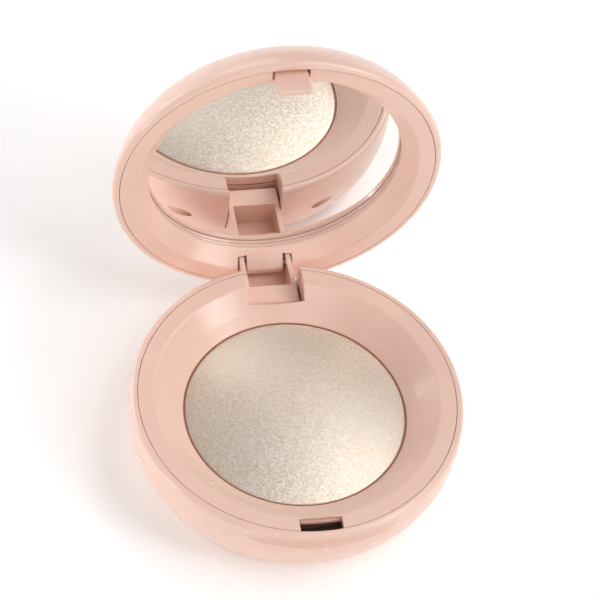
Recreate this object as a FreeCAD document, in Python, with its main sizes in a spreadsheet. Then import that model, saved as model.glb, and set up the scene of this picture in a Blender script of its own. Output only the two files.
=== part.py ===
"""Round powder compact with a domed lid, a mirror and a two-pivot hinge, modelled open.

Row frame: the origin is the centre of the flat foot, +Z is up, the hinge is towards +Y and the
latch is towards -Y.  Lengths are millimetres and angles are degrees.

The base pieces are drawn in the base frame, whose z = 0 is the flat rim of the base.  The lid
pieces are drawn in the lid frame: the lid as it lies when closed, z = 0 at its own flat rim and
+Z into the lid.  The link is drawn along its own +Y, from the base pivot to the lid pivot.
"""

import FreeCAD
import Part
import Sketcher
import math
import os

SIZES = (
    # name, size, what it is
    ("case_radius", 30.0, "largest radius of the base and of the lid"),
    ("base_depth", 15.6, "flat rim of the base down to the foot"),
    ("lid_depth", 11.5, "flat rim of the lid to the top of its crown"),
    ("lip", 0.9, "rounding of both outer rims"),
    ("rim_width", 1.2, "rim of both shells, outside their inner rings"),
    ("seam_gap", 0.1, "open line at that joint"),
    ("flange", 1.5, "thickness of both inner rings at the rim"),
    ("ledge", 1.1, "width of the ledge that carries the tray"),
    ("belly_start", 2.9, "depth at which the base starts to curve in"),
    ("belly_radius", 17.8, "curve of the base's side"),
    ("foot_blend", 4.5, "curve from the side into the foot"),
    ("base_wall", 1.5, "wall of the base shell"),
    ("flank_radius", 14.6, "curve of the lid's side"),
    ("flank_drop", 2.1, "how far below the lid's rim that curve is centred"),
    ("shoulder_blend", 7.0, "curve from the lid's side into its crown"),
    ("crown_rise", 0.73, "rise of the crown above its edge"),
    ("crown_edge", 86.0, "direction of the surface at the crown's edge, from level"),
    ("lid_wall", 1.2, "wall of the lid shell"),
    ("flat_width", 3.0, "flat rim of both inner rings, from the seam to the slope"),
    ("bowl_round", 0.6, "rounding of that edge"),
    ("shelf_width", 2.1, "gentler slope of the tray round the pan"),
    ("slope_depth", 3.1, "depth at which the steep slope ends and the gentler one starts"),
    ("pan_radius", 20.15, "outside of the powder pan"),
    ("pan_edge_depth", 4.6, "depth of the tray's edge round the pan"),
    ("pan_wall", 0.25, "sheet of the powder pan"),
    ("pan_height", 4.0, "height of the powder pan"),
    ("pan_fit", 0.05, "play of the pan in the tray and of the cake in the pan"),
    ("cake_stand", 0.15, "how far the cake's edge stands above the pan's"),
    ("cake_dome", 2.8, "rise of the powder dome"),
    ("glue", 0.1, "adhesive under the pan"),
    ("glue_radius", 15.0, "radius of that adhesive"),
    ("tray_wall", 1.3, "wall of the tray's well"),
    ("tray_floor", 1.2, "floor of the tray's well"),
    ("well_gap", 0.3, "space round the tray's well"),
    ("well_shoulder", 1.0, "outer corner of the well, below the tray's edge round the pan"),
    ("cavity_overlap", 1.0, "how far the side cavity reaches into the shaft round the well"),
    ("throat_run", 2.8, "width of the frame's slope, from its flat rim to the throat"),
    ("throat_depth", 2.8, "depth of the throat"),
    ("frame_step_depth", 3.5, "depth of the small step inside the frame"),
    ("frame_step", 0.25, "width of that step"),
    ("frame_wall", 1.25, "wall of the mirror frame"),
    ("mirror_depth", 4.3, "depth of the mirror's face"),
    ("mirror_lap", 0.25, "how far the mirror reaches behind the frame"),
    ("mirror_thick", 1.0, "thickness of the mirror"),
    ("tape", 0.15, "tape behind the mirror"),
    ("rib_radius", 12.0, "inner rib that carries the mirror"),
    ("outer_rib_inset", 4.75, "outer rib, inside the mirror's edge"),
    ("rib", 1.2, "thickness of both ribs"),
    ("parting_gap", 0.5, "space between the two rims when closed"),
    ("pivot_inset", 3.7, "base pivot, inside the case's rear"),
    ("pivot_drop", 6.788, "base pivot, below the base's rim"),
    ("lid_pivot_inset", 3.8, "lid pivot, inside the lid's rear"),
    ("lid_pivot_depth", 2.0, "lid pivot, inside the lid's rim"),
    ("link_swing", 92.5, "turn of the link on the base pivot"),
    ("lid_swing", 1.5, "turn of the lid on the lid pivot"),
    ("pocket_half", 5.1, "half width of the hinge pocket"),
    ("side_gap", 0.35, "play of the link beside the pocket's walls"),
    ("rear_gap", 0.15, "play of the link in the narrower opening at the pocket's rear"),
    ("rear_wall", 0.8, "how far that narrower opening reaches inside the seam"),
    ("hinge_gap", 0.3, "play round the hub and round the arms' ends"),
    ("opening_gap", 0.5, "space round the hub in the lid shell's rear opening"),
    ("hub_radius", 3.1, "round hub of the link"),
    ("hub_flat", 0.6, "how much the hub's flat top takes off its round"),
    ("hub_step", 2.0, "end of the hub along the link"),
    ("arm_end_radius", 2.2, "round ends of the link's arms"),
    ("arm", 0.9, "thickness of the link's arms"),
    ("arm_shoulder", 0.5, "how far the arms' straight front starts before the lid's rim"),
    ("web", 0.9, "thickness of the plate between the arms"),
    ("web_end", 1.0, "how far that plate passes the lid pivot"),
    ("lid_slot_gap", 0.25, "play of the arms at the outside of their slots"),
    ("knuckle_half", 3.3, "half width of the lid's knuckle"),
    ("knuckle_radius", 1.95, "round end of the knuckle"),
    ("ear", 1.5, "thickness of the ears that hold the lid pin"),
    ("ear_clear", 0.1, "space between the ears' ends and the room cut for them in the lid"),
    ("lid_ledge", 0.6, "width of the ledge that carries the mirror frame"),
    ("pin_inset", 0.2, "how far the lid pin ends inside the ears"),
    ("block_angle", 17.0, "half angle of the base's hinge block"),
    ("base_pin_radius", 1.0, "radius of the base pin"),
    ("base_pin_seat", 2.5, "length of the base pin in each wall of the pocket"),
    ("lid_pin_radius", 0.8, "radius of the lid pin"),
    ("pin_grip", 0.02, "gap round the pins where they are held"),
    ("pin_play", 0.05, "gap round the pins where the link turns"),
    ("slot_half", 3.9, "half width of the latch slot"),
    ("slot_width", 2.9, "latch slot, from the seam to its inner wall"),
    ("slot_wall", 0.5, "shell left between the seam and the latch recess"),
    ("slot_depth", 5.5, "depth of the latch recess"),
    ("catch", 0.15, "height of the catch on the slot's inner wall"),
    ("catch_depth", 0.9, "depth of the catch's upper edge"),
    ("catch_side", 0.5, "catch's end to the slot's side"),
    ("catch_root", 0.2, "how far the catch is rooted in the tray"),
    ("hook_half", 3.0, "half width of the latch hook"),
    ("hook_reach", 4.2, "how far the hook stands out of the lid's rim"),
    ("hook_clear", 0.8, "space between the slot's inner wall and the hook"),
    ("hook_thick", 1.1, "thickness of the hook"),
    ("hook_nose", 0.3, "height of the hook's nose"),
    ("nose_start", 1.3, "hook's tip to the full height of its nose"),
    ("nose_end", 2.2, "hook's tip to the end of its nose"),
    ("hook_root", 2.0, "height of the hook's root behind the frame's rim"),
    ("hook_embed", 0.4, "how far that root reaches into the lid shell"),
    ("hook_gap", 0.4, "space beside the hook in the frame's notch"),
    ("notch_gap", 0.2, "space behind the hook in the frame's notch"),
    ("scoop_tube", 1.5, "radius of the finger scoop's hollow"),
    ("scoop_offset", 0.45, "centre of that hollow outside the case"),
    ("scoop_drop", 2.3, "depth of that centre below the rim"),
    ("scoop_bend", 42.3, "bend of the scoop seen from above"),
    ("scoop_angle", 60.0, "turn of the hollow round that bend, to beyond the case"),
    ("soft_edge", 0.2, "rounding of the small moulded edges"),
    ("throat_edge", 0.3, "rounding of the frame's throat"),
)

doc = FreeCAD.newDocument("PowderCompact")
sheet = doc.addObject("Spreadsheet::Sheet", "Sizes")
for row, (name, number, note) in enumerate(SIZES, start=1):
    sheet.set(f"A{row}", name)
    sheet.set(f"B{row}", str(number))
    sheet.setAlias(f"B{row}", name)
    sheet.set(f"C{row}", note)
doc.recompute()


class Size:
    """A number with the sheet formula that gives it, so that both follow the same sum."""

    def __init__(self, value, formula):
        self.value = float(value)
        self.formula = formula

    @staticmethod
    def of(thing):
        return thing if isinstance(thing, Size) else Size(thing, f"({thing})")

    def join(self, other, value, sign):
        return Size(value, f"({self.formula} {sign} {other.formula})")

    def __add__(self, other):
        other = Size.of(other)
        return self.join(other, self.value + other.value, "+")

    def __sub__(self, other):
        other = Size.of(other)
        return self.join(other, self.value - other.value, "-")

    def __mul__(self, other):
        other = Size.of(other)
        return self.join(other, self.value * other.value, "*")

    def __truediv__(self, other):
        other = Size.of(other)
        return self.join(other, self.value / other.value, "/")

    def __radd__(self, other):
        return Size.of(other) + self

    def __rsub__(self, other):
        return Size.of(other) - self

    def __rmul__(self, other):
        return Size.of(other) * self

    def __neg__(self):
        return Size.of(0) - self


def size(name):
    return Size(sheet.get(name), f"Sizes.{name}")


def root(number):
    return Size(math.sqrt(number.value), f"sqrt({number.formula})")


def sine(angle):
    return Size(math.sin(math.radians(angle.value)), f"sin({angle.formula} * 1 deg)")


def cosine(angle):
    return Size(math.cos(math.radians(angle.value)), f"cos({angle.formula} * 1 deg)")


# ---------------------------------------------------------------- sketches and features


def body_named(label):
    body = doc.addObject("PartDesign::Body", label)
    body.Label = label
    return body


def sketch_on(body, role, name):
    """A sketch on one of the body's own origin planes: YZ draws (y, z), XY draws (x, y)."""
    sketch = body.newObject("Sketcher::SketchObject", name)
    plane = next(item for item in body.Origin.OriginFeatures if item.Role == role)
    sketch.AttachmentSupport = [(plane, "")]
    sketch.MapMode = "FlatFace"
    return sketch


def bind(sketch, kind, places, number):
    """Add one constraint whose size is the sheet formula of number."""
    index = sketch.addConstraint(Sketcher.Constraint(kind, *places, number.value))
    sketch.setExpression(f"Constraints[{index}]", number.formula)


def pin_point(sketch, geometry, end, point):
    """Hold one end of a line or an arc at a point given by two sizes."""
    for kind, axis, number in (("DistanceX", -2, point[0]), ("DistanceY", -1, point[1])):
        number = Size.of(number)
        if number.formula == "(0)":
            sketch.addConstraint(Sketcher.Constraint("PointOnObject", geometry, end, axis))
        else:
            bind(sketch, kind, (-1, 1, geometry, end), number)


def arc_between(start, end, radius):
    """The short arc from start to end; a positive radius turns left and a negative one right."""
    chord = end - start
    turn = math.copysign(1.0, radius)
    rise = math.sqrt(max(radius * radius - chord.Length ** 2 / 4, 0.0))
    side = FreeCAD.Vector(-chord.y, chord.x, 0).normalize()
    centre = (start + end) * 0.5 + side * (rise * turn)
    first, last = (start, end) if turn > 0 else (end, start)
    angles = [math.atan2(spot.y - centre.y, spot.x - centre.x) for spot in (first, last)]
    circle = Part.Circle(centre, FreeCAD.Vector(0, 0, 1), abs(radius))
    return Part.ArcOfCircle(circle, *angles)


def outline(sketch, steps):
    """Draw a closed outline.  A step (x, y) is a straight edge to that point, and a step
    (x, y, radius) is a short arc to it that turns left, or right where the radius is negative."""
    spots = [FreeCAD.Vector(Size.of(s[0]).value, Size.of(s[1]).value, 0) for s in steps]
    arrivals = []
    for index, step in enumerate(steps):
        start, end = spots[index - 1], spots[index]
        if len(step) == 2:
            geometry = sketch.addGeometry(Part.LineSegment(start, end), False)
            leaving, arriving = 1, 2
        else:
            radius = Size.of(step[2])
            geometry = sketch.addGeometry(arc_between(start, end, radius.value), False)
            leaving, arriving = (1, 2) if radius.value > 0 else (2, 1)
            bind(sketch, "Radius", (geometry,), radius if radius.value > 0 else -radius)
        if arrivals:
            sketch.addConstraint(Sketcher.Constraint("Coincident", *arrivals[-1], geometry, leaving))
        else:
            first = (geometry, leaving)
        arrivals.append((geometry, arriving))
        pin_point(sketch, geometry, arriving, step)
    sketch.addConstraint(Sketcher.Constraint("Coincident", *arrivals[-1], *first))


def circle_at(sketch, centre, radius):
    spot = FreeCAD.Vector(Size.of(centre[0]).value, Size.of(centre[1]).value, 0)
    circle = Part.Circle(spot, FreeCAD.Vector(0, 0, 1), radius.value)
    geometry = sketch.addGeometry(circle, False)
    pin_point(sketch, geometry, 3, centre)
    bind(sketch, "Radius", (geometry,), radius)


def mirrored(steps):
    """The same outline on the other side of the sketch's upright axis."""
    return [(-Size.of(s[0]), s[1], *(-Size.of(r) for r in s[2:])) for s in steps]


def box_steps(low_x, high_x, low_y, high_y):
    return [(low_x, low_y), (high_x, low_y), (high_x, high_y), (low_x, high_y)]


def feature(body, kind, sketch, name):
    item = body.newObject(f"PartDesign::{kind}", name)
    item.Profile = sketch
    sketch.Visibility = False
    return item


def settle(body, item, grows):
    """Recompute and make sure that the new feature really added or removed material."""
    before = item.BaseFeature.Shape.Volume if item.BaseFeature else 0.0
    doc.recompute()
    change = item.Shape.Volume - before
    if change * (1 if grows else -1) <= 1e-6:
        raise RuntimeError(f"{body.Label}: {item.Name} changed nothing")


def turned(body, steps, name, cut=False, angle=None, axis="V_Axis"):
    """Turn an outline about its upright axis, to add material or to cut it."""
    sketch = sketch_on(body, "YZ_Plane", f"{name}_outline")
    for loop in steps if isinstance(steps[0], list) else [steps]:
        outline(sketch, loop)
    item = feature(body, "Groove" if cut else "Revolution", sketch, name)
    item.ReferenceAxis = (sketch, [axis])
    item.Angle = 360
    if angle is not None:
        item.Midplane = True
        item.setExpression("Angle", angle.formula)
    settle(body, item, not cut)
    return item


def across(body, steps, name, half_width, cut=False, role="YZ_Plane"):
    """Extend an outline both ways from its plane by half_width, to add or to cut."""
    sketch = sketch_on(body, role, f"{name}_outline")
    for loop in steps if isinstance(steps[0], list) else [steps]:
        outline(sketch, loop)
    return extend_both_ways(body, sketch, name, half_width, cut)


def bore(body, centre, radius, name, half_width):
    """Cut a round hole along X."""
    sketch = sketch_on(body, "YZ_Plane", f"{name}_outline")
    circle_at(sketch, centre, radius)
    return extend_both_ways(body, sketch, name, half_width, True)


def extend_both_ways(body, sketch, name, half_width, cut):
    item = feature(body, "Pocket" if cut else "Pad", sketch, name)
    item.SideType = "Symmetric"
    item.setExpression("Length", (half_width * 2).formula)
    settle(body, item, not cut)
    return item


def soften(body, radius, name, chosen):
    """Round the edges of the body's last feature that the test picks by their middle points."""
    base = body.Tip
    names = []
    for index, edge in enumerate(base.Shape.Edges, start=1):
        middle = edge.valueAt((edge.FirstParameter + edge.LastParameter) / 2)
        if chosen(edge, middle):
            names.append(f"Edge{index}")
    if not names:
        raise RuntimeError(f"{body.Label}: {name} finds no edge")
    item = body.newObject("PartDesign::Fillet", name)
    item.Base = (base, names)
    item.setExpression("Radius", radius.formula)
    doc.recompute()
    if item.Shape.isNull() or not item.Shape.isValid() or item.Shape.Volume == base.Shape.Volume:
        raise RuntimeError(f"{body.Label}: {name} rounds nothing")
    return item


def close(value, number):
    return abs(value - number.value) < 1e-3


def ring_edge(radius, depth):
    """Picks the whole circle of that radius round the axis at that level."""
    def chosen(edge, middle):
        return close(math.hypot(middle.x, middle.y), radius) and close(middle.z, depth)
    return chosen


# ---------------------------------------------------------------- shared lines and places

case_radius = size("case_radius")
base_depth = size("base_depth")
lid_depth = size("lid_depth")
lip = size("lip")
seam_radius = case_radius - size("rim_width")
ring_radius = seam_radius - size("seam_gap")
flange = size("flange")
bowl_radius = seam_radius - size("flat_width")
link_half = size("pocket_half") - size("side_gap")
rear_half = link_half + size("rear_gap")
lid_slot_half = link_half + size("lid_slot_gap")
ear_half = lid_slot_half + size("ear")
base_pivot = (case_radius - size("pivot_inset"), -size("pivot_drop"))
lid_pivot = (case_radius - size("lid_pivot_inset"), size("lid_pivot_depth"))
slot_inner = seam_radius - size("slot_width")
hook_inner = slot_inner + size("hook_clear")
above = Size.of(1)
outside = case_radius + 2

# The link is as long as the two pivots are apart when the compact is closed.
closed_run = lid_pivot[0] - base_pivot[0]
closed_rise = size("parting_gap") + lid_pivot[1] - base_pivot[1]
link_length = root(closed_run * closed_run + closed_rise * closed_rise)

# Directions of the open link: the closed direction turned back by the link's swing.
swing = size("link_swing")
open_cos = (closed_run * cosine(swing) + closed_rise * sine(swing)) / link_length
open_sin = (closed_rise * cosine(swing) - closed_run * sine(swing)) / link_length

# The belly's curve and the foot's curve share one tangent, at this direction.
belly_centre = case_radius - size("belly_radius")
foot_reach = size("belly_radius") - size("foot_blend")
belly_sin = (base_depth - size("belly_start") - size("foot_blend")) / foot_reach
belly_cos = root(1 - belly_sin * belly_sin)

# The same for the lid's flank and shoulder, and for its lip and flank.
shoulder_reach = size("flank_radius") - size("shoulder_blend")
crown_sin = sine(size("crown_edge"))
crown_cos = cosine(size("crown_edge"))
flank_rise = lid_depth - size("crown_rise") + size("flank_drop")
flank_sin = (flank_rise - size("shoulder_blend") * crown_sin) / shoulder_reach
flank_cos = root(1 - flank_sin * flank_sin)
lip_reach = size("flank_radius") - lip
lip_rise = lip + size("flank_drop")
lip_run = root(lip_reach * lip_reach - lip_rise * lip_rise)
flank_centre = case_radius - lip - lip_run


def belly_curve(inset):
    """From the foot's flat up the outside of the base, or a wall's thickness inside it."""
    radius = size("belly_radius") - inset
    tangent = (belly_centre + radius * belly_cos, -size("belly_start") - radius * belly_sin)
    foot = (belly_centre + foot_reach * belly_cos, inset - base_depth)
    return [foot, (*tangent, size("foot_blend") - inset)]


def crown_curve(inset):
    """From the lid's flank over its shoulder to the axis, or a wall's thickness inside."""
    radius = size("flank_radius") - inset
    blend = size("shoulder_blend") - inset
    tangent = (flank_centre + radius * flank_cos, radius * flank_sin - size("flank_drop"))
    edge_radius = flank_centre + shoulder_reach * flank_cos + blend * crown_cos
    edge_depth = shoulder_reach * flank_sin - size("flank_drop") + blend * crown_sin
    top = lid_depth - inset
    rise = top - edge_depth
    crown_radius = (edge_radius * edge_radius + rise * rise) / (rise * 2)
    return [(*tangent, radius), (edge_radius, edge_depth, blend), (0, top, crown_radius)]


def hinge_pocket(rear_end):
    """The pocket in the base: a front wall, a floor that wraps the hub, and an open rear."""
    reach = size("hub_radius") + size("hinge_gap")
    front = base_pivot[0] - reach
    bottom = (base_pivot[0], base_pivot[1] - reach)
    tangent = (base_pivot[0] + reach * open_sin, base_pivot[1] - reach * open_cos)
    run = rear_end - tangent[0]
    rear = (rear_end, tangent[1] + run * open_sin / open_cos)
    return [(front, above), (front, base_pivot[1]), (*bottom, reach), (*tangent, reach), rear,
            (rear_end, above)]


# ---------------------------------------------------------------- base

tray_well = size("pan_radius") + size("pan_fit") + size("tray_wall")
well_floor = size("pan_edge_depth") + size("pan_height") + size("glue")
well_bottom = well_floor + size("tray_floor")
well_corner = size("pan_edge_depth") + size("well_shoulder")
under_flange = bowl_radius + size("bowl_round")


def make_base_shell():
    body = body_named("base_shell")
    turned(body, [
        (0, -base_depth),
        *belly_curve(Size.of(0)),
        (case_radius, -size("belly_start"), size("belly_radius")),
        (case_radius, -lip),
        (case_radius - lip, 0, lip),
        (0, 0),
    ], "bowl")
    cavity_floor = size("base_wall") - base_depth
    shaft = tray_well + size("well_gap")
    turned(body, [
        (0, cavity_floor),
        (shaft, cavity_floor),
        (shaft, -well_corner),
        (under_flange, -flange),
        (seam_radius, -flange),
        (seam_radius, above),
        (0, above),
    ], "tray_seat", cut=True)
    ledge_radius = seam_radius - size("ledge")
    inner = size("belly_radius") - size("base_wall")
    ledge_run = ledge_radius - belly_centre
    ledge_foot = -size("belly_start") - root(inner * inner - ledge_run * ledge_run)
    inside = shaft - size("cavity_overlap")
    turned(body, mirrored([
        (inside, cavity_floor),
        *belly_curve(size("base_wall")),
        (ledge_radius, ledge_foot, inner),
        (ledge_radius, -flange),
        (inside, -flange),
    ]), "side_cavity", cut=True, angle=360 - size("block_angle") * 2)
    across(body, hinge_pocket(outside), "rear_opening", rear_half, cut=True)
    across(body, hinge_pocket(seam_radius - size("rear_wall")), "hinge_pocket",
           size("pocket_half"), cut=True)
    bore(body, base_pivot, size("base_pin_radius") + size("pin_grip"), "pin_bore", outside)
    across(body, box_steps(size("slot_wall") - seam_radius, -slot_inner, -size("slot_depth"), above),
           "latch_recess", size("slot_half"), cut=True)
    scoop = sketch_on(body, "YZ_Plane", "finger_scoop_outline")
    middle = -(case_radius + size("scoop_offset"))
    circle_at(scoop, (middle, -size("scoop_drop")), size("scoop_tube"))
    bend_axis = middle + size("scoop_bend")
    post = [FreeCAD.Vector(bend_axis.value, height, 0) for height in (-5, 5)]
    line = scoop.addGeometry(Part.LineSegment(*post), True)
    scoop.addConstraint(Sketcher.Constraint("Vertical", line))
    pin_point(scoop, line, 1, (bend_axis, Size.of(-5)))
    bind(scoop, "DistanceY", (line, 1, line, 2), Size.of(10))
    item = feature(body, "Groove", scoop, "finger_scoop")
    item.ReferenceAxis = (scoop, ["Axis0"])
    item.Midplane = True
    item.setExpression("Angle", size("scoop_angle").formula)
    settle(body, item, False)
    return body


def make_inner_tray():
    body = body_named("inner_tray")
    pan_opening = size("pan_radius") + size("pan_fit")
    turned(body, [
        (0, -well_bottom),
        (tray_well, -well_bottom),
        (tray_well, -well_corner),
        (under_flange, -flange),
        (ring_radius, -flange),
        (ring_radius, 0),
        (bowl_radius, 0),
        (pan_opening + size("shelf_width"), -size("slope_depth")),
        (pan_opening, -size("pan_edge_depth")),
        (pan_opening, -well_floor),
        (0, -well_floor),
    ], "tray")
    soften(body, size("bowl_round"), "bowl_edge", ring_edge(bowl_radius, Size.of(0)))
    across(body, hinge_pocket(outside), "hinge_pocket", size("pocket_half"), cut=True)
    soften(body, size("soft_edge"), "pocket_edges", tray_pocket_edge)
    across(body, box_steps(-outside, -slot_inner, -size("slot_depth"), above),
           "latch_slot", size("slot_half"), cut=True)
    root_y = size("catch_root") - slot_inner
    face_y = -slot_inner - size("catch")
    across(body, box_steps(face_y, root_y, -flange, -size("catch_depth")),
           "catch", size("slot_half") - size("catch_side"))
    return body


def tray_pocket_edge(edge, middle):
    """The pocket's side edges on the tray's flat rim, its rounding and its slope."""
    beside = edge.BoundBox.XLength < 1e-4 and close(abs(middle.x), size("pocket_half"))
    radius = math.hypot(middle.x, middle.y)
    run = bowl_radius - size("pan_radius") - size("pan_fit") - size("shelf_width")
    slope = (size("slope_depth") / run).value
    surface = min(0.0, (radius - bowl_radius.value) * slope)
    return beside and middle.y > 0 and abs(middle.z - surface) < size("bowl_round").value / 2


def make_powder_pan():
    body = body_named("powder_pan")
    top = -size("pan_edge_depth") - size("cake_stand")
    bottom = size("glue") - well_floor
    wall = size("pan_wall")
    radius = size("pan_radius")
    turned(body, [
        (0, bottom),
        (radius, bottom),
        (radius, top),
        (radius - wall, top),
        (radius - wall, bottom + wall),
        (0, bottom + wall),
    ], "dish")
    return body


def make_powder_cake():
    body = body_named("powder_cake")
    radius = size("pan_radius") - size("pan_wall") - size("pan_fit")
    edge = -size("pan_edge_depth")
    rise = size("cake_dome")
    dome = (radius * radius + rise * rise) / (rise * 2)
    bottom = size("glue") - well_floor + size("pan_wall")
    turned(body, [
        (0, bottom),
        (radius, bottom),
        (radius, edge),
        (0, edge + rise, dome),
    ], "cake")
    return body


def cylinder_named(label, radius, height):
    item = doc.addObject("Part::Cylinder", label)
    item.Label = label
    item.setExpression("Radius", radius.formula)
    item.setExpression("Height", height.formula)
    return item


# ---------------------------------------------------------------- link


def make_hinge_link():
    body = body_named("hinge_link")
    hub = size("hub_radius")
    top = hub - size("hub_flat")
    end = size("arm_end_radius")
    shoulder = link_length - lid_pivot[1] - size("arm_shoulder")
    across(body, [
        (size("hub_step"), top),
        (-root(hub * hub - top * top), top),
        (-hub, 0, hub),
        (0, -hub, hub),
        (link_length + size("web_end"), -hub),
        (link_length + end, 0),
        (link_length, end, end),
        (shoulder, end),
    ], "blank", link_half)
    web_face = size("web") - hub
    arms_inside = link_half - size("arm")
    far = link_length + end + 1
    across(body, box_steps(size("hub_step"), far, web_face, hub + 1), "channel", arms_inside,
           cut=True)
    knuckle_space = size("knuckle_radius") + size("hinge_gap")
    sketch = sketch_on(body, "YZ_Plane", "knuckle_space_outline")
    circle_at(sketch, (link_length, 0), knuckle_space)
    extend_both_ways(body, sketch, "knuckle_space", arms_inside, True)
    soften(body, size("soft_edge"), "outer_edges", link_outer_edge)
    bore(body, (Size.of(0), 0), size("base_pin_radius") + size("pin_play"), "base_bore", link_half)
    bore(body, (link_length, 0), size("lid_pin_radius") + size("pin_play"), "lid_bore", link_half)
    return body


def link_outer_edge(edge, middle):
    """The whole outline of the link's two sides."""
    return edge.BoundBox.XLength < 1e-4 and close(abs(middle.x), link_half)


# ---------------------------------------------------------------- lid


def make_lid_shell():
    body = body_named("lid_shell")
    stretch = size("flank_radius") / lip_reach
    turned(body, [
        (0, 0),
        (case_radius - lip, 0),
        (flank_centre + lip_run * stretch, lip_rise * stretch - size("flank_drop"), lip),
        *crown_curve(Size.of(0)),
    ], "dome")
    wall = size("lid_wall")
    inner = size("flank_radius") - wall
    ledge_radius = seam_radius - size("lid_ledge")
    ledge_run = ledge_radius - flank_centre
    ledge_top = root(inner * inner - ledge_run * ledge_run) - size("flank_drop")
    turned(body, [
        (0, -above),
        (seam_radius, -above),
        (seam_radius, flange),
        (ledge_radius, flange),
        (ledge_radius, ledge_top),
        *crown_curve(wall),
    ], "cavity", cut=True)
    ribs = [box_steps(radius, radius + size("rib"), rib_face, rib_top) for radius in rib_radii]
    turned(body, ribs, "mirror_ribs")
    room = size("knuckle_radius") + size("ear_clear")
    room_front = lid_pivot[0] - size("knuckle_radius")
    across(body, [
        (room_front, flange),
        (lid_pivot[0] + room, flange),
        (lid_pivot[0] + room, lid_pivot[1]),
        (lid_pivot[0], lid_pivot[1] + room, room),
        (room_front, lid_pivot[1] + room),
    ], "ear_room", ear_half + size("ear_clear"), cut=True)
    reach = size("hub_radius") + size("opening_gap")
    across(body, [
        (lid_pivot[0], -above),
        (outside, -above),
        (outside, lid_pivot[1]),
        (lid_pivot[0] + reach, lid_pivot[1]),
        (lid_pivot[0], lid_pivot[1] + reach, reach),
    ], "hinge_opening", lid_slot_half, cut=True)
    inner_face = -hook_inner
    outer_face = inner_face - size("hook_thick")
    tip = -size("hook_reach")
    nose_face = inner_face + size("hook_nose")
    root_low = flange + size("seam_gap")
    root_high = root_low + size("hook_root")
    shell_side = -ledge_radius - size("hook_embed")
    across(body, [
        (inner_face, root_high),
        (shell_side, root_high),
        (shell_side, root_low),
        (outer_face, root_low),
        (outer_face, tip),
        (inner_face, tip),
        (nose_face, tip + size("nose_start")),
        (nose_face, tip + size("nose_end")),
        (inner_face, tip + size("nose_end")),
    ], "latch_hook", size("hook_half"))
    soften(body, size("soft_edge"), "hook_edges", hook_edge)
    return body


def hook_edge(edge, middle):
    """The edges round the hook's tip and the two corners of its outer face."""
    tip = close(middle.z, -size("hook_reach")) and edge.BoundBox.ZLength < 1e-4
    corner = close(abs(middle.x), size("hook_half")) and edge.BoundBox.YLength < 1e-4
    return tip or corner and close(middle.y, -hook_inner - size("hook_thick")) and middle.z < 0


throat_radius = bowl_radius - size("throat_run")
mirror_radius = throat_radius + size("frame_step") * 2 + size("mirror_lap")
rib_radii = (size("rib_radius"), mirror_radius - size("outer_rib_inset"))
rib_face = size("mirror_depth") + size("mirror_thick") + size("tape")
rib_top = lid_depth - size("crown_rise") - size("lid_wall") / 2


def make_mirror_frame():
    body = body_named("mirror_frame")
    throat = throat_radius
    step_depth = size("frame_step_depth")
    middle = throat + size("frame_step")
    back = middle + size("frame_step")
    end = size("mirror_depth") - size("pan_fit")
    turned(body, [
        (bowl_radius, 0),
        (ring_radius, 0),
        (ring_radius, flange),
        (under_flange, flange),
        (throat + size("frame_wall"), size("throat_depth") + size("frame_wall")),
        (back + size("frame_wall"), end),
        (back, end),
        (back, step_depth),
        (middle, step_depth),
        (throat, size("throat_depth")),
    ], "frame")
    soften(body, size("bowl_round"), "bowl_edge", ring_edge(bowl_radius, Size.of(0)))
    soften(body, size("throat_edge"), "throat_edge", ring_edge(throat, size("throat_depth")))
    knuckle = size("knuckle_radius")
    pivot_y, pivot_z = lid_pivot
    across(body, [
        (pivot_y, pivot_z - knuckle),
        (pivot_y + knuckle, pivot_z, knuckle),
        (pivot_y, pivot_z + knuckle, knuckle),
        (throat + size("frame_wall"), pivot_z + knuckle),
        (throat + size("frame_wall"), size("throat_depth")),
    ], "hinge_block", ear_half)
    turned(body, box_steps(ring_radius, outside, 0, lid_depth), "ear_trim", cut=True)
    high = pivot_z + size("arm_end_radius") + size("hinge_gap")
    across(body, [
        (pivot_y, -above),
        (outside, -above),
        (outside, high),
        (pivot_y, high),
        (pivot_y, pivot_z + knuckle),
        (pivot_y + knuckle, pivot_z, -knuckle),
        (pivot_y, pivot_z - knuckle, -knuckle),
    ], "rim_opening", lid_slot_half, cut=True)
    slot_front = pivot_y - size("arm_end_radius") - size("hinge_gap")
    slot = box_steps(size("knuckle_half"), lid_slot_half, slot_front, outside)
    across(body, [slot, mirrored(slot)], "arm_slots", high, cut=True, role="XY_Plane")
    bore(body, lid_pivot, size("lid_pin_radius") + size("pin_grip"), "pin_bore", ear_half)
    across(body, box_steps(-outside, size("notch_gap") - hook_inner, -above, flange * 2),
           "hook_notch", size("hook_half") + size("hook_gap"), cut=True)
    return body


def make_mirror_tape():
    body = body_named("mirror_tape")
    face = rib_face - size("tape")
    turned(body, [box_steps(radius, radius + size("rib"), face, rib_face) for radius in rib_radii],
           "tape_rings")
    return body


# ---------------------------------------------------------------- places

UPRIGHT = FreeCAD.Vector(0, 0, 1)
ALONG_X = FreeCAD.Vector(1, 0, 0)
lid_turn = -(swing + size("lid_swing"))
open_pivot = (base_pivot[0] + link_length * open_cos, base_pivot[1] + link_length * open_sin)
pivot_arm_y = lid_pivot[0] * cosine(lid_turn) - lid_pivot[1] * sine(lid_turn)
pivot_arm_z = lid_pivot[0] * sine(lid_turn) + lid_pivot[1] * cosine(lid_turn)
lid_centre = (open_pivot[0] - pivot_arm_y, open_pivot[1] - pivot_arm_z)


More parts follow.
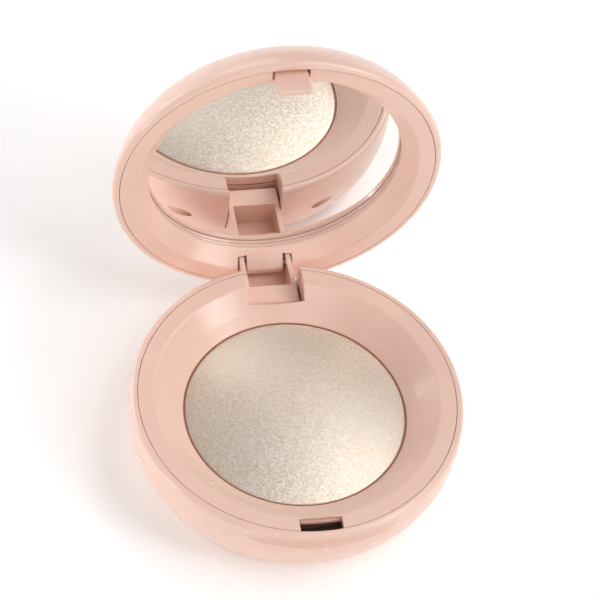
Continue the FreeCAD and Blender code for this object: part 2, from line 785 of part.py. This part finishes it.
def put(item, place, axis, degrees, formula):
    """Place an object: its turn about an axis and its place, all bound to the sheet."""
    item.Placement.Rotation = FreeCAD.Rotation(axis, degrees)
    item.setExpression("Placement.Rotation.Angle", formula)
    for letter, number in zip("xyz", place):
        item.setExpression(f"Placement.Base.{letter}", Size.of(number).formula)


def put_in_base(item):
    item.setExpression("Placement.Base.z", base_depth.formula)


def put_in_lid(item, depth=Size.of(0)):
    """Place a lid piece that is drawn around the lid's axis, depth inside the lid's rim."""
    place = (0, lid_centre[0] - depth * sine(lid_turn),
             base_depth + lid_centre[1] + depth * cosine(lid_turn))
    put(item, place, ALONG_X, lid_turn.value, f"{lid_turn.formula} * 1 deg")


def put_along_x(item, pivot, length):
    """Lay a pin along X through a pivot of the base frame."""
    place = (-length / 2, pivot[0], base_depth + pivot[1])
    put(item, place, FreeCAD.Vector(0, 1, 0), 90.0, "90 deg")


base_shell = make_base_shell()
inner_tray = make_inner_tray()
powder_pan = make_powder_pan()
powder_cake = make_powder_cake()
pan_glue = cylinder_named("pan_adhesive", size("glue_radius"), size("glue"))
base_pin_length = (size("pocket_half") + size("base_pin_seat")) * 2
lid_pin_length = (ear_half - size("pin_inset")) * 2
base_pin = cylinder_named("base_hinge_pin", size("base_pin_radius"), base_pin_length)
hinge_link = make_hinge_link()
lid_pin = cylinder_named("lid_hinge_pin", size("lid_pin_radius"), lid_pin_length)
lid_shell = make_lid_shell()
mirror_frame = make_mirror_frame()
mirror = cylinder_named("mirror", mirror_radius, size("mirror_thick"))
mirror_tape = make_mirror_tape()

for piece in (base_shell, inner_tray, powder_pan, powder_cake):
    put_in_base(piece)
pan_glue.setExpression("Placement.Base.z", (base_depth - well_floor).formula)
put_along_x(base_pin, base_pivot, base_pin_length)
put_along_x(lid_pin, open_pivot, lid_pin_length)
link_angle = math.degrees(math.atan2(open_sin.value, open_cos.value))
put(hinge_link, (0, base_pivot[0], base_depth + base_pivot[1]), ALONG_X, link_angle,
    f"atan({(open_sin / open_cos).formula})")
for piece in (lid_shell, mirror_frame, mirror_tape):
    put_in_lid(piece)
put_in_lid(mirror, size("mirror_depth"))
doc.recompute()

# ---------------------------------------------------------------- checks and files

for item in doc.Objects:
    if "Invalid" in item.State or "Error" in item.State:
        raise RuntimeError(f"{item.Label} did not compute: {item.State}")

PIECES = (base_shell, inner_tray, powder_pan, powder_cake, pan_glue, base_pin, hinge_link,
          lid_pin, lid_shell, mirror_frame, mirror, mirror_tape)
os.makedirs("parts", exist_ok=True)
for piece in PIECES:
    shape = piece.Shape
    if shape.isNull() or not shape.isValid() or not shape.Solids:
        raise RuntimeError(f"{piece.Label} is not a valid solid")
for piece in PIECES:
    piece.Shape.exportStep(f"parts/{piece.Label}.step")
    print(piece.Label, round(piece.Shape.Volume, 1), "mm3,", len(piece.Shape.Solids), "solid")
print("foot radius", round((belly_centre + foot_reach * belly_cos).value, 2))
print("base pivot (y, z)", round(base_pivot[0].value, 4), round((base_depth + base_pivot[1]).value, 4))
print("lid pivot (y, z)", round(open_pivot[0].value, 4), round((base_depth + open_pivot[1]).value, 4))
print("lid centre (y, z)", round(lid_centre[0].value, 4), round((base_depth + lid_centre[1]).value, 4))
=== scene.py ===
# %% [markdown]
# # A powder compact, open on a pale table
# The object is a round moulded case.  The base holds a pressed dome of shimmer powder, the lid holds
# a mirror, and a small link with two steel pins joins them.  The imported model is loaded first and
# everything else is placed from it, because a look that is fitted to a finished model can't drift
# away from its sizes.

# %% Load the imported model
import math

import bmesh
import bpy
from mathutils import Matrix, Vector


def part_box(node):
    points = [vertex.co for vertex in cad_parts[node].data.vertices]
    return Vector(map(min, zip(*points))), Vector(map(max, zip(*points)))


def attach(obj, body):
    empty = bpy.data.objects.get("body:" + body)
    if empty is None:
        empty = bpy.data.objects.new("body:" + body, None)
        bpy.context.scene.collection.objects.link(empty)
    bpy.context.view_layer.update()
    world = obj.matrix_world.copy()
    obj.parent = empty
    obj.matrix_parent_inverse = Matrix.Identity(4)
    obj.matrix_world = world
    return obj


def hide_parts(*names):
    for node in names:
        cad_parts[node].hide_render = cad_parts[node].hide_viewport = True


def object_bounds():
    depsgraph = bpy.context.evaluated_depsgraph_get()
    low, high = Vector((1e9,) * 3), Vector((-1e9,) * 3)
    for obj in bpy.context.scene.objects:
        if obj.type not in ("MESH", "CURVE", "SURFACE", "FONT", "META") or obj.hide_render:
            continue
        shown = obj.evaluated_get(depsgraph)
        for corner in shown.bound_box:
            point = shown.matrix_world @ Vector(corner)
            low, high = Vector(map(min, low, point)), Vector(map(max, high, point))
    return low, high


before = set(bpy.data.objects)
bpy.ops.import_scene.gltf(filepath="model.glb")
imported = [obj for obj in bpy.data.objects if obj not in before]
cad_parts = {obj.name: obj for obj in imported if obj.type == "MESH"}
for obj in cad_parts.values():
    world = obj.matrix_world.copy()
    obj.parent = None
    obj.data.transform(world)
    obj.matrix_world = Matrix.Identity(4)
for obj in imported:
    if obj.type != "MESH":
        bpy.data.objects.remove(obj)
cad_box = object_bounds()
MM = 0.001
print("model box in mm:", [[round(v / MM, 1) for v in corner] for corner in cad_box])

# %% [markdown]
# ## The camera
# A small object seen from far away with a long lens keeps its circles nearly elliptical.  The camera
# is placed by the direction from the object to it, its distance, and the point it looks at, and is
# then rolled about its own line of sight.  These four are easy to change one at a time, which a
# matrix is not.

# %% Camera
AIM = Vector((1.59, 14.17, 26.05)) * MM
TO_CAMERA = Vector((-0.17461, -0.57176, 0.80163)).normalized()
DISTANCE = 1432 * MM
ROLL = math.radians(9.872)

lens = bpy.data.cameras.new("compact_camera")
lens.lens = 480
lens.sensor_width = 36
lens.clip_start, lens.clip_end = 0.05, 20
camera = bpy.data.objects.new("compact_camera", lens)
bpy.context.scene.collection.objects.link(camera)
level = TO_CAMERA.to_track_quat("Z", "Y").to_matrix()
camera.matrix_world = (Matrix.Translation(AIM + TO_CAMERA * DISTANCE)
                       @ (level @ Matrix.Rotation(ROLL, 3, "Z")).to_4x4())
bpy.context.scene.camera = camera
print("camera at", [round(v, 3) for v in camera.matrix_world.translation])

# %% [markdown]
# ## The table and the light
# Glossy plastic shows mostly what is around it, so the surroundings are part of its finish.  A wide
# white table and an even white sky give the pale reflections, and a softbox high on the right gives
# the shape.  Two lamps low at the back and left whiten the edges of the case, a middle-sized one at the
# right front brings out the powder's sheen, and wide weak ones fill the shadows.  Area lamps are
# used because their size sets how soft a glint is.

# %% Table
def flat_quad(name, half):
    """A square sheet that faces up, with its middle at the origin."""
    mesh = bmesh.new()
    bmesh.ops.create_grid(mesh, x_segments=1, y_segments=1, size=half)
    sheet = bpy.data.meshes.new(name)
    mesh.to_mesh(sheet)
    mesh.free()
    item = bpy.data.objects.new(name, sheet)
    bpy.context.scene.collection.objects.link(item)
    return item


table = flat_quad("table", 6.0)
table.location.z = cad_box[0][2] - 0.02 * MM
print("table is", round(table.dimensions.x, 1), "m wide")

# %% Lamps and sky
def softbox(name, azimuth, elevation, width, power, distance=1.1):
    """A round lamp in that direction from the compact, turned to face it.  Azimuth 0 is the
    right-hand side and 90 is behind the hinge."""
    lamp = bpy.data.lights.new(name, "AREA")
    lamp.shape, lamp.size, lamp.energy = "DISK", width, power
    item = bpy.data.objects.new(name, lamp)
    bpy.context.scene.collection.objects.link(item)
    turn, lift = math.radians(azimuth), math.radians(elevation)
    ray = Vector((math.cos(turn) * math.cos(lift), math.sin(turn) * math.cos(lift), math.sin(lift)))
    item.matrix_world = (Matrix.Translation(AIM + ray * distance)
                         @ ray.to_track_quat("Z", "Y").to_matrix().to_4x4())
    return item


# azimuth and elevation in degrees, width in metres, power in watts
LAMPS = {
    "key_softbox": (-15, 60, 0.85, 5.1),
    "glint_lamp": (-34, 28, 0.07, 0.5),
    "right_fill": (-36, 30, 0.5, 2.9),
    "powder_lamp": (45, 58, 0.4, 1.1),
    "lid_back_lamp": (140, 12, 0.6, 4.4),
    "back_fill": (100, 25, 0.7, 1.9),
    "left_fill": (208, 16, 0.8, 1.3),
    "left_edge": (190, 2, 0.2, 3.2),
    "front_fill": (258, 44, 0.6, 1.5),
}
for lamp_name, setting in LAMPS.items():
    softbox(lamp_name, *setting)
sky = bpy.data.worlds.new("studio_sky")
sky.use_nodes = True
sky.node_tree.nodes["Background"].inputs["Color"].default_value = (1.0, 0.995, 0.99, 1)
sky.node_tree.nodes["Background"].inputs["Strength"].default_value = 0.17
bpy.context.scene.world = sky
bpy.context.scene.view_settings.view_transform = "Standard"
print("lamps:", ", ".join(LAMPS))

# %% [markdown]
# ## Writing a finish
# A finish is a graph of nodes.  Wiring each node by hand hides the arithmetic, so a small class wraps
# a socket and lets + - * / add the Math nodes, and one method adds every other kind of node: its
# settings first, because they decide which sockets it has, and then its sockets.

# %% Sockets that can be added and multiplied
class Value:
    """One output socket of a finish."""

    def __init__(self, finish, socket):
        self.finish, self.socket = finish, socket

    def math(self, operation, *numbers):
        inputs = dict(enumerate(numbers))
        return self.finish.add("ShaderNodeMath", {"operation": operation}, inputs)

    def __add__(self, other):
        return self.math("ADD", self, other)

    def __mul__(self, other):
        return self.math("MULTIPLY", self, other)

    def __pow__(self, other):
        return self.math("POWER", self, other)

    __radd__, __rmul__ = __add__, __mul__


# %% A finish and its nodes
class Finish:
    """A material with one Principled shader."""

    def __init__(self, name, fixed):
        self.material = bpy.data.materials.new(name)
        self.material.use_nodes = True
        self.tree = self.material.node_tree
        self.shader = self.tree.nodes["Principled BSDF"]
        for socket, setting in fixed.items():
            self.shader.inputs[socket].default_value = setting
        self.place = self.add("ShaderNodeTexCoord", output="Object")

    def put(self, socket, thing):
        if isinstance(thing, Value):
            self.tree.links.new(thing.socket, socket)
        else:
            socket.default_value = thing

    def add(self, kind, settings=None, inputs=None, output=0):
        node = self.tree.nodes.new(kind)
        for name, setting in (settings or {}).items():
            setattr(node, name, setting)
        for name, thing in (inputs or {}).items():
            self.put(node.inputs[name], thing)
        return Value(self, node.outputs[output])

    def feed(self, name, thing):
        self.put(self.shader.inputs[name], thing)

    def grain(self, size, detail=2.0, roughness=0.5):
        """Soft noise with patches of that size in metres, about 0 to 1."""
        return self.add("ShaderNodeTexNoise", {"noise_dimensions": "3D"}, {
            "Vector": self.place, "Scale": 1 / size, "Detail": detail, "Roughness": roughness})

    def blend(self, factor, first, second):
        """The first colour where factor is 0 and the second where it is 1."""
        return self.add("ShaderNodeMix", {"data_type": "RGBA"},
                        {0: factor, 6: first, 7: second}, output=2)

    def relief(self, height, distance, normal=None):
        """Bumps as tall as distance, in metres, where height is 1."""
        inputs = {"Height": height, "Distance": distance, "Strength": 1.0}
        if normal is not None:
            inputs["Normal"] = normal
        return self.add("ShaderNodeBump", None, inputs)

    def vector(self, operation, *inputs):
        """One Vector Math node, because a Math node would flatten a vector to one number."""
        return self.add("ShaderNodeVectorMath", {"operation": operation}, dict(enumerate(inputs)))

    def soft_edges(self, radius):
        """Shading that rolls over every sharp corner by that radius."""
        return self.add("ShaderNodeBevel", {"samples": 4}, {"Radius": radius})


def tone(red, green, blue):
    """A colour from its screen values, 0 to 255, as the linear light that a shader wants."""
    parts = [v / 255 for v in (red, green, blue)]
    return tuple(v / 12.92 if v <= 0.04045 else ((v + 0.055) / 1.055) ** 2.4 for v in parts) + (1,)


print("finish tools ready")

# %% [markdown]
# ## Table finish
# The table is matt and almost white, like a sheet of frosted glass with a weak lamp under it, so it
# glows a little and its shadows stay pale.  A little mottling keeps it from looking like an empty page.

# %% Table finish
paper = Finish("table_white", {"Roughness": 0.9, "Specular IOR Level": 0.1,
                               "Emission Color": (1, 1, 1, 1), "Emission Strength": 0.17})
mottle = paper.grain(50 * MM)
paper.feed("Base Color", paper.blend(mottle, (0.93, 0.93, 0.93, 1), (0.95, 0.95, 0.95, 1)))
table.data.materials.append(paper.material)
print("table finish", paper.material.name)

# %% [markdown]
# ## Moulded pink plastic
# The case is injection-moulded in a milky pink plastic.  Light goes a little way in and comes back
# warmer, so it has some subsurface scattering.  Its polish is good but not perfect: a very shallow
# orange peel bends the reflections, and the gloss changes slightly from place to place.  Every
# moulded corner has a small radius, which the shader rounds where the model's corner is sharp.
# All five moulded pieces share one recipe and one tone, and differ in polish and corner radius, as
# pieces from different moulds do.

# %% Plastic recipe
def moulded_plastic(name, light, deep, polish, edge):
    finish = Finish(name, {
        "IOR": 1.49,
        "Subsurface Weight": 0.08,
        "Subsurface Radius": (1.0, 0.45, 0.3),
        "Subsurface Scale": 0.9 * MM,
        "Coat Roughness": 0.08,
    })
    clouds = finish.grain(9 * MM, 3)
    finish.feed("Base Color", finish.blend(clouds, deep, light))
    haze = finish.grain(2.5 * MM, 4, 0.6)
    finish.feed("Roughness", haze * 0.08 + (polish - 0.04))
    finish.feed("Coat Weight", haze * -0.08 + 0.16)
    peel = finish.grain(1.6 * MM, 2)
    pores = finish.grain(0.22 * MM, 1)
    height = peel * 0.9 + pores * 0.1
    finish.feed("Normal", finish.relief(height, 0.006 * MM, finish.soft_edges(edge)))
    return finish.material


SHELL_CORNER, INSERT_CORNER = 0.15 * MM, 0.12 * MM
PINK, DEEP_PINK = tone(243, 206, 190), tone(240, 200, 183)
plastics = {
    "base_shell": moulded_plastic("base_pink", PINK, DEEP_PINK, 0.26, SHELL_CORNER),
    "inner_tray": moulded_plastic("tray_pink", PINK, DEEP_PINK, 0.26, INSERT_CORNER),
    "hinge_link": moulded_plastic("link_pink", PINK, DEEP_PINK, 0.30, SHELL_CORNER),
    "lid_shell": moulded_plastic("lid_pink", PINK, DEEP_PINK, 0.24, SHELL_CORNER),
    "mirror_frame": moulded_plastic("frame_pink", PINK, DEEP_PINK, 0.26, INSERT_CORNER),
}


def wear(node, material):
    """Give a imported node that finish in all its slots."""
    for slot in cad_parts[node].material_slots:
        slot.material = material


for node, material in plastics.items():
    wear(node, material)
print("moulded pieces:", ", ".join(plastics))

# %% [markdown]
# ## The mirror
# A mirror is glass with silver behind it.  At this size the two read as one bright, slightly
# blue-grey reflector, so a metal with almost no roughness is enough; a faint haze keeps it real.

# %% Mirror finish
silver = Finish("mirror_silver", {"Metallic": 1.0, "Coat Weight": 0.0})
dim, bright = (0.93, 0.935, 0.93, 1), (0.95, 0.95, 0.945, 1)
silver.feed("Base Color", silver.blend(silver.grain(12 * MM), dim, bright))
silver.feed("Roughness", silver.grain(4 * MM, 3) ** 3 * 0.02 + 0.003)
wear("mirror", silver.material)
print("mirror finish", silver.material.name)

# %% [markdown]
# ## Pan, pins, glue and tape
# The pan is drawn from thin metal, and only its rim shows, as a fine line round the powder.  Its warm
# brown is painted shade: the rim is coloured like the shaded gap between the powder and the tray.
# The pins are cut from ground steel wire, and the glue and the tape are only seen when the compact is
# taken apart.

# %% Metal and hidden finishes
def ground_metal(name, bright, dark, rough, along):
    """Metal with fine lines that run along one axis."""
    finish = Finish(name, {"Metallic": 1.0})
    per_metre_along, per_metre_across = 120, 9000
    stretch = [per_metre_along if axis == along else per_metre_across for axis in range(3)]
    lines = finish.add("ShaderNodeMapping", None, {"Vector": finish.place, "Scale": stretch})
    scratch = finish.add("ShaderNodeTexNoise", None, {"Vector": lines, "Scale": 1.0, "Detail": 2.0})
    finish.feed("Base Color", finish.blend(scratch, dark, bright))
    finish.feed("Roughness", scratch * 0.15 + rough)
    finish.feed("Normal", finish.relief(scratch, 0.004 * MM))
    return finish.material


X_AXIS, Z_AXIS = 0, 2
STEEL, DARK_STEEL = tone(200, 200, 202), tone(160, 160, 164)
# Painted shade: the pan's metal gets the brown of the shaded gap round the powder, so its rim reads as
# that gap.
GAP_SHADE_BROWN, DARK_GAP_SHADE_BROWN = tone(196, 140, 118), tone(168, 112, 92)
wear("powder_pan", ground_metal("pan_metal_painted_gap_shade", GAP_SHADE_BROWN, DARK_GAP_SHADE_BROWN, 0.5, Z_AXIS))
wear("base_hinge_pin", ground_metal("pin_steel_base", STEEL, DARK_STEEL, 0.2, X_AXIS))
wear("lid_hinge_pin", ground_metal("pin_steel_lid", STEEL, DARK_STEEL, 0.2, X_AXIS))


def soft_sticker(name, light, dark, size):
    """Dull glue or tape with a slightly uneven skin."""
    finish = Finish(name, {"Specular IOR Level": 0.3})
    skin = finish.grain(size, 3)
    finish.feed("Base Color", finish.blend(skin, dark, light))
    finish.feed("Roughness", skin * 0.2 + 0.5)
    finish.feed("Normal", finish.relief(skin, 0.03 * MM))
    return finish.material


wear("pan_adhesive", soft_sticker("pan_glue", tone(226, 214, 186), tone(206, 190, 158), 2 * MM))
wear("mirror_tape", soft_sticker("mirror_tape_foam", tone(236, 236, 232), tone(214, 214, 210), 0.6 * MM))
print("metal and hidden finishes done")

# %% [markdown]
# ## The pressed powder
# The cake is one dome of shimmer powder, pressed in its pan.  It could be turned from a profile, but
# a slice off a large ball is the same shape with even faces and a clean pole, so it starts as a ball,
# is cut to its cap, and gets its rim from an extrusion.  The rim's corner is rounded a little, because
# pressed powder never keeps a knife edge.

# %% Powder dome
EDGE_DEPTH = 4.6 * MM        # the dome's edge, below the top of the tray
EDGE_ROUND = 0.22 * MM
MERIDIANS, PARALLELS = 160, 300
low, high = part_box("powder_cake")
cake_radius = (high.x - low.x) / 2
tray_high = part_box("inner_tray")[1]
cake_edge = tray_high.z - EDGE_DEPTH
rise = high.z - cake_edge
ball_radius = (cake_radius ** 2 + rise ** 2) / (2 * rise)

cake = bmesh.new()
bmesh.ops.create_uvsphere(cake, u_segments=MERIDIANS, v_segments=PARALLELS, radius=ball_radius)
bmesh.ops.translate(cake, verts=cake.verts, vec=(0, 0, high.z - ball_radius))
everything = cake.verts[:] + cake.edges[:] + cake.faces[:]
cut = bmesh.ops.bisect_plane(cake, geom=everything, plane_co=(0, 0, cake_edge), plane_no=(0, 0, -1),
                             clear_outer=True)
rim = [item for item in cut["geom_cut"] if isinstance(item, bmesh.types.BMEdge)]
wall = bmesh.ops.extrude_edge_only(cake, edges=rim)["geom"]
foot = [item for item in wall if isinstance(item, bmesh.types.BMVert)]
bmesh.ops.translate(cake, verts=foot, vec=(0, 0, low.z - cake_edge))
bmesh.ops.contextual_create(cake, geom=[e for e in cake.edges if e.is_boundary])
corner = [e for e in cake.edges if all(abs(v.co.z - cake_edge) < 1e-7 for v in e.verts)]
bmesh.ops.bevel(cake, geom=corner, offset=EDGE_ROUND, offset_type="OFFSET", segments=4, profile=0.5,
                affect="EDGES", material=-1)
bmesh.ops.recalc_face_normals(cake, faces=cake.faces)
for face in cake.faces:
    face.smooth = len(face.verts) < 8
shape = bpy.data.meshes.new("pressed_powder")
cake.to_mesh(shape)
cake.free()
powder = bpy.data.objects.new("pressed_powder", shape)
bpy.context.scene.collection.objects.link(powder)
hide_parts("powder_cake")
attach(powder, "base")
print("powder dome:", len(shape.polygons), "faces, radius", round(cake_radius / MM, 2), "mm")

# %% [markdown]
# The powder is a warm beige binder with mica flakes in it.  From most sides the beige shows, and
# towards the light the flakes turn the dome silvery, so the shader is part metal with a wide soft
# gloss.  Each cell of a Voronoi pattern stands for one clump of flakes: its random colour makes it a
# little more silver or more beige, and tilts its surface a few degrees, which gives the fine shimmer.

# %% Powder finish
CLUMP = 0.24 * MM            # size of one clump of flakes
TILT = 0.085                 # how far a clump leans, as a share of its upright normal
BINDER, PALE_BINDER = tone(220, 193, 164), tone(228, 205, 180)
SILVER = tone(246, 248, 246)

shimmer = Finish("shimmer_powder", {"IOR": 1.6})
flakes = shimmer.add("ShaderNodeTexVoronoi", {"feature": "F1"},
                     {"Vector": shimmer.place, "Scale": 1 / CLUMP}, output="Color")
sparkle = shimmer.add("ShaderNodeSeparateColor", None, {"Color": flakes})
cloud = shimmer.grain(5 * MM, 3)
dust = shimmer.grain(0.3 * MM, 3, 0.6)
binder = shimmer.blend(cloud * 0.7 + dust * 0.3, BINDER, PALE_BINDER)
shimmer.feed("Base Color", shimmer.blend(sparkle * 0.55 + dust * 0.15, binder, SILVER))
shimmer.feed("Metallic", sparkle * 0.2 + 0.4)
shimmer.feed("Roughness", sparkle * 0.1 + 0.38)
upright = shimmer.add("ShaderNodeNewGeometry", output="Normal")
lean = shimmer.vector("SUBTRACT", flakes, (0.5, 0.5, 0.5))
lean = shimmer.vector("MULTIPLY", lean, (TILT, TILT, TILT))
leaning = shimmer.vector("NORMALIZE", shimmer.vector("ADD", upright, lean))
shimmer.feed("Normal", shimmer.relief(dust, 0.01 * MM, leaning))
shape.materials.append(shimmer.material)
print("powder finish", shimmer.material.name)

# %% [markdown]
# ## The end

# %% The end
print("scene ready")
